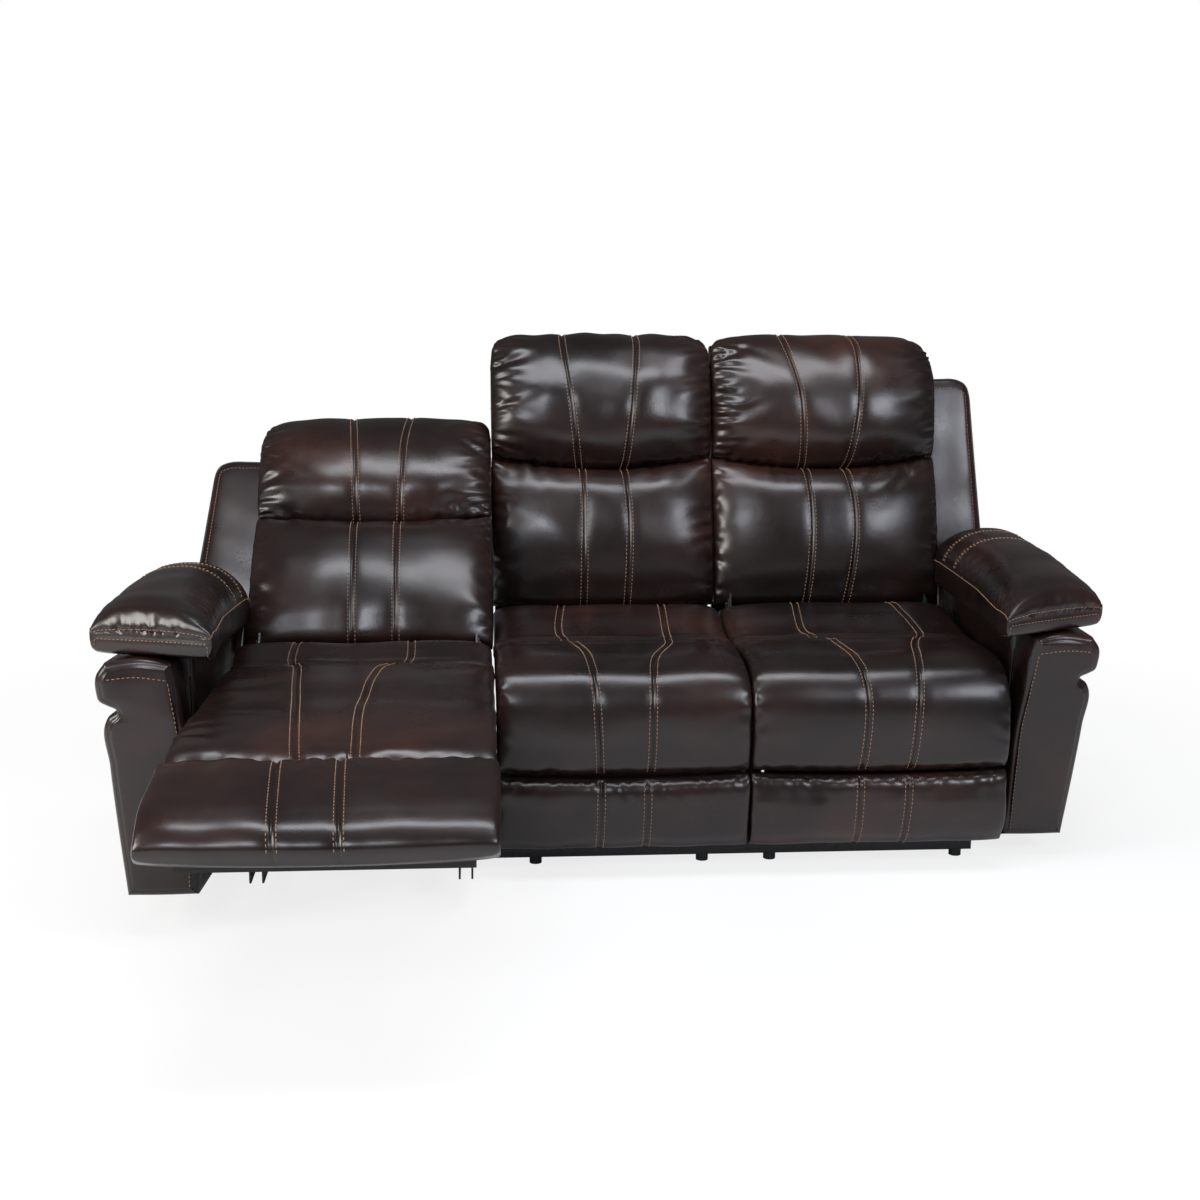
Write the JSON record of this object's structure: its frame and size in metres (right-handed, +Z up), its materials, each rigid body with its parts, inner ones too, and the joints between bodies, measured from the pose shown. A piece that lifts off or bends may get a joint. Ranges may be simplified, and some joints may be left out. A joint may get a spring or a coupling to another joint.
{
  "type": "reclining sofa",
  "caption": "Reclining sofa in dark brown leather: end seats recline and raise a footrest, the middle seat is fixed, with pillow arms.",
  "frame": {"origin": "centre of the sofa's box from side to side and front to back, at floor level under the glides", "axes": "+X towards the right of someone facing the sofa, +Y to the rear, +Z up"},
  "size_m": [2.0058, 1.6463, 1.0902],
  "materials": {
    "brown_leather": "satin",
    "frame_wood": "matte",
    "black_steel": "satin",
    "spring_steel": "satin",
    "bolt_steel": "satin",
    "glide_plastic": "matte",
    "lever_plastic": "satin",
    "deck_cloth": "matte"
  },
  "bodies": {
    "base": {"floor_glides": "glide_plastic", "base_front_rail": "black_steel", "base_rear_rail": "black_steel", "base_cross_rails": "black_steel", "base_bolts": "bolt_steel", "slide_tracks": "black_steel", "middle_back_board": "frame_wood", "middle_back_brackets": "black_steel", "middle_chaise_pad": "brown_leather", "middle_front_board": "frame_wood", "middle_front_panel": "brown_leather", "middle_headrest_pad": "brown_leather", "middle_lower_back_pad": "brown_leather", "middle_outer_back": "brown_leather", "middle_seat_cushion": "brown_leather", "middle_seat_frame": "frame_wood", "middle_seat_springs": "spring_steel", "middle_sides": "frame_wood"},
    "left_carriage": {"left_carriage": "black_steel"},
    "left_chassis": {"left_side_plates": "black_steel", "left_arm_panel": "brown_leather", "left_arm_pillow": "brown_leather"},
    "left_seat": {"left_seat_frame": "frame_wood", "left_seat_springs": "spring_steel", "left_seat_deck": "deck_cloth", "left_seat_cushion": "brown_leather", "left_link_hangers": "black_steel"},
    "left_chaise": {"left_chaise_pad": "brown_leather"},
    "left_footrest": {"left_footrest_board": "frame_wood", "left_footrest_pad": "brown_leather"},
    "left_rear_links": {"left_rear_links": "black_steel"},
    "left_front_links": {"left_front_links": "black_steel"},
    "left_back": {"left_back_board": "frame_wood", "left_back_brackets": "black_steel", "left_lower_back_pad": "brown_leather", "left_headrest_pad": "brown_leather", "left_back_wing": "brown_leather", "left_outer_back": "brown_leather"},
    "left_lever": {"left_release_lever": "lever_plastic"},
    "right_carriage": {"right_carriage": "black_steel"},
    "right_chassis": {"right_side_plates": "black_steel", "right_arm_panel": "brown_leather", "right_arm_pillow": "brown_leather"},
    "right_seat": {"right_seat_frame": "frame_wood", "right_seat_springs": "spring_steel", "right_seat_deck": "deck_cloth", "right_seat_cushion": "brown_leather", "right_link_hangers": "black_steel"},
    "right_chaise": {"right_chaise_pad": "brown_leather"},
    "right_footrest": {"right_footrest_board": "frame_wood", "right_footrest_pad": "brown_leather"},
    "right_rear_links": {"right_rear_links": "black_steel"},
    "right_front_links": {"right_front_links": "black_steel"},
    "right_back": {"right_back_board": "frame_wood", "right_back_brackets": "black_steel", "right_lower_back_pad": "brown_leather", "right_headrest_pad": "brown_leather", "right_back_wing": "brown_leather", "right_outer_back": "brown_leather"},
    "right_lever": {"right_release_lever": "lever_plastic"}
  },
  "joints": [
    {"name": "left_recline", "type": "slide", "parent": "base", "child": "left_carriage", "axis": [0, 1, 0], "range_m": [0, 0.315]},
    {"name": "left_tilt", "type": "hinge", "parent": "left_carriage", "child": "left_chassis", "pos_m": [-0.529, 0.04073, 0.2], "axis": [1, 0, 0], "range_deg": [0, 6.1]},
    {"name": "left_seat_slide", "type": "slide", "parent": "left_chassis", "child": "left_seat", "axis": [0, 0.9943, -0.1063], "range_m": [0, 0.115]},
    {"name": "left_back_recline", "type": "hinge", "parent": "left_chassis", "child": "left_back", "pos_m": [-0.529, 0.27465, 0.43145], "axis": [1, 0, 0], "range_deg": [0, 24.4]},
    {"name": "left_footrest", "type": "hinge", "parent": "left_seat", "child": "left_chaise", "pos_m": [-0.529, -0.39782, 0.44398], "axis": [1, 0, 0], "range_deg": [0, 75]},
    {"name": "left_footrest_run", "type": "slide", "parent": "left_chaise", "child": "left_footrest", "axis": [0, 0.988, 0.1547], "range_m": [0, 0.092]},
    {"name": "left_rear_link", "type": "hinge", "parent": "left_seat", "child": "left_rear_links", "pos_m": [-0.529, -0.34065, 0.32021], "axis": [1, 0, 0], "range_deg": [0, 132.78]},
    {"name": "left_front_link", "type": "hinge", "parent": "left_footrest", "child": "left_front_links", "pos_m": [-0.529, -0.7217, 0.32748], "axis": [-1, 0, 0], "range_deg": [0, 42.24]},
    {"name": "left_release", "type": "hinge", "parent": "left_chassis", "child": "left_lever", "pos_m": [-0.96863, 0.05256, 0.32948], "axis": [-1, 0, 0], "range_deg": [0, 25], "stiffness_Nm_per_rad": 3, "springref_deg": -20.05},
    {"name": "right_recline", "type": "slide", "parent": "base", "child": "right_carriage", "axis": [0, -1, 0], "range_m": [0, 0.315]},
    {"name": "right_tilt", "type": "hinge", "parent": "right_carriage", "child": "right_chassis", "pos_m": [0.529, 0.35573, 0.2], "axis": [-1, 0, 0], "range_deg": [0, 6.1]},
    {"name": "right_seat_slide", "type": "slide", "parent": "right_chassis", "child": "right_seat", "axis": [0, -1, 0], "range_m": [0, 0.115]},
    {"name": "right_back_recline", "type": "hinge", "parent": "right_chassis", "child": "right_back", "pos_m": [0.529, 0.56373, 0.455], "axis": [-1, 0, 0], "range_deg": [0, 24.4]},
    {"name": "right_footrest", "type": "hinge", "parent": "right_seat", "child": "right_chaise", "pos_m": [0.529, 0.00873, 0.396], "axis": [-1, 0, 0], "range_deg": [0, 75]},
    {"name": "right_footrest_run", "type": "slide", "parent": "right_chaise", "child": "right_footrest", "axis": [0, 0, -1], "range_m": [0, 0.092]},
    {"name": "right_rear_link", "type": "hinge", "parent": "right_seat", "child": "right_rear_links", "pos_m": [0.529, 0.07873, 0.279], "axis": [-1, 0, 0], "range_deg": [0, 132.78]},
    {"name": "right_front_link", "type": "hinge", "parent": "right_footrest", "child": "right_front_links", "pos_m": [0.529, 0.07373, 0.15], "axis": [1, 0, 0], "range_deg": [0, 42.24]},
    {"name": "right_release", "type": "hinge", "parent": "right_chassis", "child": "right_lever", "pos_m": [0.96863, 0.35373, 0.33], "axis": [-1, 0, 0], "range_deg": [0, 25], "stiffness_Nm_per_rad": 3, "springref_deg": -20.05}
  ],
  "couplings": [
    {"joint": "left_tilt", "follows": "left_recline", "rad_per_m": 0.33798},
    {"joint": "left_seat_slide", "follows": "left_recline", "ratio": 0.36508},
    {"joint": "left_back_recline", "follows": "left_recline", "rad_per_m": 1.3519},
    {"joint": "left_footrest_run", "follows": "left_footrest", "m_per_rad": 0.070283},
    {"joint": "left_rear_link", "follows": "left_footrest", "ratio": 1.7705},
    {"joint": "left_front_link", "follows": "left_footrest", "ratio": 0.56318},
    {"joint": "right_tilt", "follows": "right_recline", "rad_per_m": 0.33798},
    {"joint": "right_seat_slide", "follows": "right_recline", "ratio": 0.36508},
    {"joint": "right_back_recline", "follows": "right_recline", "rad_per_m": 1.3519},
    {"joint": "right_footrest_run", "follows": "right_footrest", "m_per_rad": 0.070283},
    {"joint": "right_rear_link", "follows": "right_footrest", "ratio": 1.7705},
    {"joint": "right_front_link", "follows": "right_footrest", "ratio": 0.56318}
  ]
}
